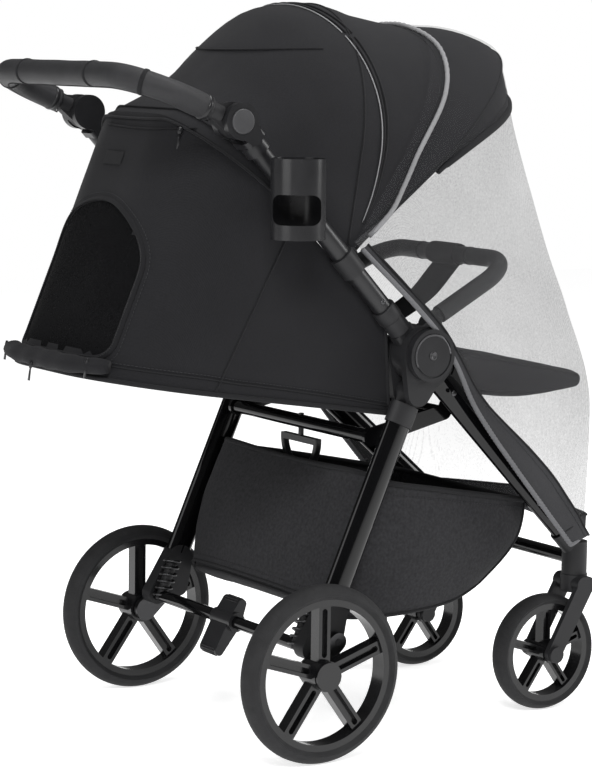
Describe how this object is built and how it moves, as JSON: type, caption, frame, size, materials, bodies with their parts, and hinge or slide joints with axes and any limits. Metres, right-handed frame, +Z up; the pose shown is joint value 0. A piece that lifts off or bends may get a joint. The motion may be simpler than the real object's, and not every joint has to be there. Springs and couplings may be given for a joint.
{
  "type": "folding stroller",
  "caption": "Four-wheel folding pushchair for a pet or child with a canopy, insect net, bumper bar, legrest, basket, cup holder and tilting push handle.",
  "frame": {"origin": "on the floor, on the centre plane, midway between the rearmost and foremost points", "axes": "+X the pusher's right, +Y the rolling direction, +Z up"},
  "size_m": [0.588, 0.8364, 1.0371],
  "materials": {
    "frame_gloss": "gloss black anodised tube",
    "plastic_matte": "matte moulded black",
    "plastic_satin": "satin moulded black",
    "steel": "zinc plated",
    "tyre": "matte foamed rubber",
    "rim": "gloss black spokes",
    "grip": "matte dark grey leatherette",
    "cloth": "woven charcoal",
    "melange": "dark melange",
    "net": "fine translucent mesh",
    "matte_board": "stiffening board"
  },
  "bodies": {
    "front_frame": {"front_leg_right": "frame_gloss", "front_leg_left": "frame_gloss", "hub_housing_right": "plastic_matte", "hub_housing_left": "plastic_matte", "hub_covers": "plastic_satin", "caster_housings": "plastic_matte", "front_cross_tube": "frame_gloss", "seat_frame": "frame_gloss", "seat_pad": "cloth", "bumper_sockets": "plastic_matte", "basket": "melange", "insect_net": "net"},
    "upper_frame": {"fold_knuckle_right": "plastic_matte", "fold_knuckle_left": "plastic_matte", "upper_tube_right": "frame_gloss", "upper_tube_left": "frame_gloss", "handle_hub_right": "plastic_satin", "handle_hub_left": "plastic_satin", "cup_bracket": "plastic_matte", "cup_holder": "plastic_matte", "seat_shell": "cloth", "canopy_rear": "cloth", "canopy_pivots": "plastic_matte"},
    "handle": {"handle_tube": "plastic_matte", "handle_grip": "grip"},
    "handle_button_right": {"handle_button_right": "plastic_satin"},
    "handle_button_left": {"handle_button_left": "plastic_satin"},
    "canopy_rear_bow": {"canopy_bow_1": "plastic_matte", "canopy_middle": "cloth"},
    "canopy_middle_bow": {"canopy_bow_2": "plastic_matte", "canopy_front": "cloth"},
    "canopy_front_bow": {"canopy_bow_3": "plastic_matte", "canopy_visor": "cloth"},
    "bumper": {"bumper_bar": "grip", "crotch_strap": "cloth"},
    "legrest_link": {"legrest_bracket": "plastic_matte"},
    "legrest": {"legrest": "cloth"},
    "backrest": {"backrest_board": "matte_board"},
    "rear_frame": {"rear_leg_right": "frame_gloss", "rear_leg_left": "frame_gloss", "rear_collar_right": "plastic_matte", "rear_collar_left": "plastic_matte", "rear_foot_right": "plastic_matte", "rear_foot_left": "plastic_matte", "rear_cross_shaft": "frame_gloss"},
    "brake": {"brake_pedal": "plastic_satin"},
    "fold_pull": {"fold_loop": "plastic_satin"},
    "suspension_right": {"suspension_arm_right": "steel"},
    "rear_wheel_right": {"rear_rim_right": "rim", "rear_tyre_right": "tyre"},
    "caster_right": {"caster_fork_right": "plastic_matte"},
    "front_wheel_right": {"front_rim_right": "rim", "front_tyre_right": "tyre"},
    "suspension_left": {"suspension_arm_left": "steel"},
    "rear_wheel_left": {"rear_rim_left": "rim", "rear_tyre_left": "tyre"},
    "caster_left": {"caster_fork_left": "plastic_matte"},
    "front_wheel_left": {"front_rim_left": "rim", "front_tyre_left": "tyre"}
  },
  "joints": [
    {"name": "frame_fold", "type": "hinge", "parent": "front_frame", "child": "upper_frame", "pos_m": [0, 0.0625, 0.553], "axis": [-1, 0, 0], "range_deg": [0, 125], "deforming": ["seat_shell", "insect_net"]},
    {"name": "rear_fold", "type": "hinge", "parent": "front_frame", "child": "rear_frame", "pos_m": [0, 0.0495, 0.5], "axis": [1, 0, 0], "range_deg": [0, 38], "deforming": ["basket"]},
    {"name": "bumper_fold", "type": "hinge", "parent": "front_frame", "child": "bumper", "pos_m": [0, 0.1095, 0.589], "axis": [-1, 0, 0], "range_deg": [0, 44.25], "deforming": ["crotch_strap"]},
    {"name": "legrest_link_fold", "type": "hinge", "parent": "front_frame", "child": "legrest_link", "pos_m": [0, 0.1625, 0.526], "axis": [-1, 0, 0], "range_deg": [0, 33]},
    {"name": "legrest_tilt", "type": "hinge", "parent": "legrest_link", "child": "legrest", "pos_m": [0, 0.1625, 0.526], "axis": [1, 0, 0], "range_deg": [-38, 0]},
    {"name": "canopy_rear_fold", "type": "hinge", "parent": "upper_frame", "child": "canopy_rear_bow", "pos_m": [0, -0.0525, 0.69], "axis": [1, 0, 0], "range_deg": [0, 46.8], "deforming": ["canopy_rear"]},
    {"name": "canopy_middle_fold", "type": "hinge", "parent": "canopy_rear_bow", "child": "canopy_middle_bow", "pos_m": [0, -0.0525, 0.69], "axis": [1, 0, 0], "range_deg": [0, 18.09], "deforming": ["canopy_middle"]},
    {"name": "canopy_front_fold", "type": "hinge", "parent": "canopy_middle_bow", "child": "canopy_front_bow", "pos_m": [0, -0.0525, 0.69], "axis": [1, 0, 0], "range_deg": [0, 15.5], "deforming": ["canopy_front"]},
    {"name": "backrest_recline", "type": "hinge", "parent": "upper_frame", "child": "backrest", "pos_m": [0, -0.0345, 0.503], "axis": [1, 0, 0], "range_deg": [-50, 0]},
    {"name": "handle_tilt", "type": "hinge", "parent": "upper_frame", "child": "handle", "pos_m": [0, -0.2415, 0.878], "axis": [-1, 0, 0], "range_deg": [-50, 25]},
    {"name": "handle_button_press_right", "type": "slide", "parent": "upper_frame", "child": "handle_button_right", "axis": [-1, 0, 0], "range_m": [0, 0.004], "stiffness_N_per_m": 800, "springref_m": -0.001},
    {"name": "handle_button_press_left", "type": "slide", "parent": "upper_frame", "child": "handle_button_left", "axis": [1, 0, 0], "range_m": [0, 0.004], "stiffness_N_per_m": 800, "springref_m": -0.001},
    {"name": "fold_loop_pull", "type": "slide", "parent": "front_frame", "child": "fold_pull", "axis": [0, 0, 1], "range_m": [0, 0.01], "stiffness_N_per_m": 300, "springref_m": -0.004},
    {"name": "brake_press", "type": "hinge", "parent": "rear_frame", "child": "brake", "pos_m": [0, -0.1165, 0.152], "axis": [-1, 0, 0], "range_deg": [0, 16]},
    {"name": "suspension_travel_right", "type": "hinge", "parent": "rear_frame", "child": "suspension_right", "pos_m": [0.229, -0.0785, 0.16], "axis": [-1, 0, 0], "range_deg": [0, 9], "stiffness_Nm_per_rad": 25, "springref_deg": -9.17},
    {"name": "rear_wheel_spin_right", "type": "hinge", "parent": "suspension_right", "child": "rear_wheel_right", "pos_m": [0.255, -0.1225, 0.125], "axis": [1, 0, 0], "continuous": true},
    {"name": "caster_swivel_right", "type": "hinge", "parent": "front_frame", "child": "caster_right", "pos_m": [0.163, 0.3915, 0.2], "axis": [0, 0, 1], "continuous": true},
    {"name": "front_wheel_spin_right", "type": "hinge", "parent": "caster_right", "child": "front_wheel_right", "pos_m": [0.163, 0.3355, 0.087], "axis": [1, 0, 0], "continuous": true},
    {"name": "suspension_travel_left", "type": "hinge", "parent": "rear_frame", "child": "suspension_left", "pos_m": [-0.229, -0.0785, 0.16], "axis": [-1, 0, 0], "range_deg": [0, 9], "stiffness_Nm_per_rad": 25, "springref_deg": -9.17},
    {"name": "rear_wheel_spin_left", "type": "hinge", "parent": "suspension_left", "child": "rear_wheel_left", "pos_m": [-0.255, -0.1225, 0.125], "axis": [1, 0, 0], "continuous": true},
    {"name": "caster_swivel_left", "type": "hinge", "parent": "front_frame", "child": "caster_left", "pos_m": [-0.163, 0.3915, 0.2], "axis": [0, 0, 1], "continuous": true},
    {"name": "front_wheel_spin_left", "type": "hinge", "parent": "caster_left", "child": "front_wheel_left", "pos_m": [-0.163, 0.3355, 0.087], "axis": [1, 0, 0], "continuous": true}
  ],
  "couplings": [
    {"joint": "rear_fold", "follows": "frame_fold", "ratio": 0.3},
    {"joint": "bumper_fold", "follows": "frame_fold", "ratio": 0.35},
    {"joint": "legrest_link_fold", "follows": "frame_fold", "ratio": 0.26},
    {"joint": "canopy_rear_fold", "follows": "frame_fold", "ratio": 0.3704},
    {"joint": "canopy_middle_fold", "follows": "frame_fold", "ratio": 0.1407},
    {"joint": "canopy_front_fold", "follows": "frame_fold", "ratio": 0.12}
  ]
}
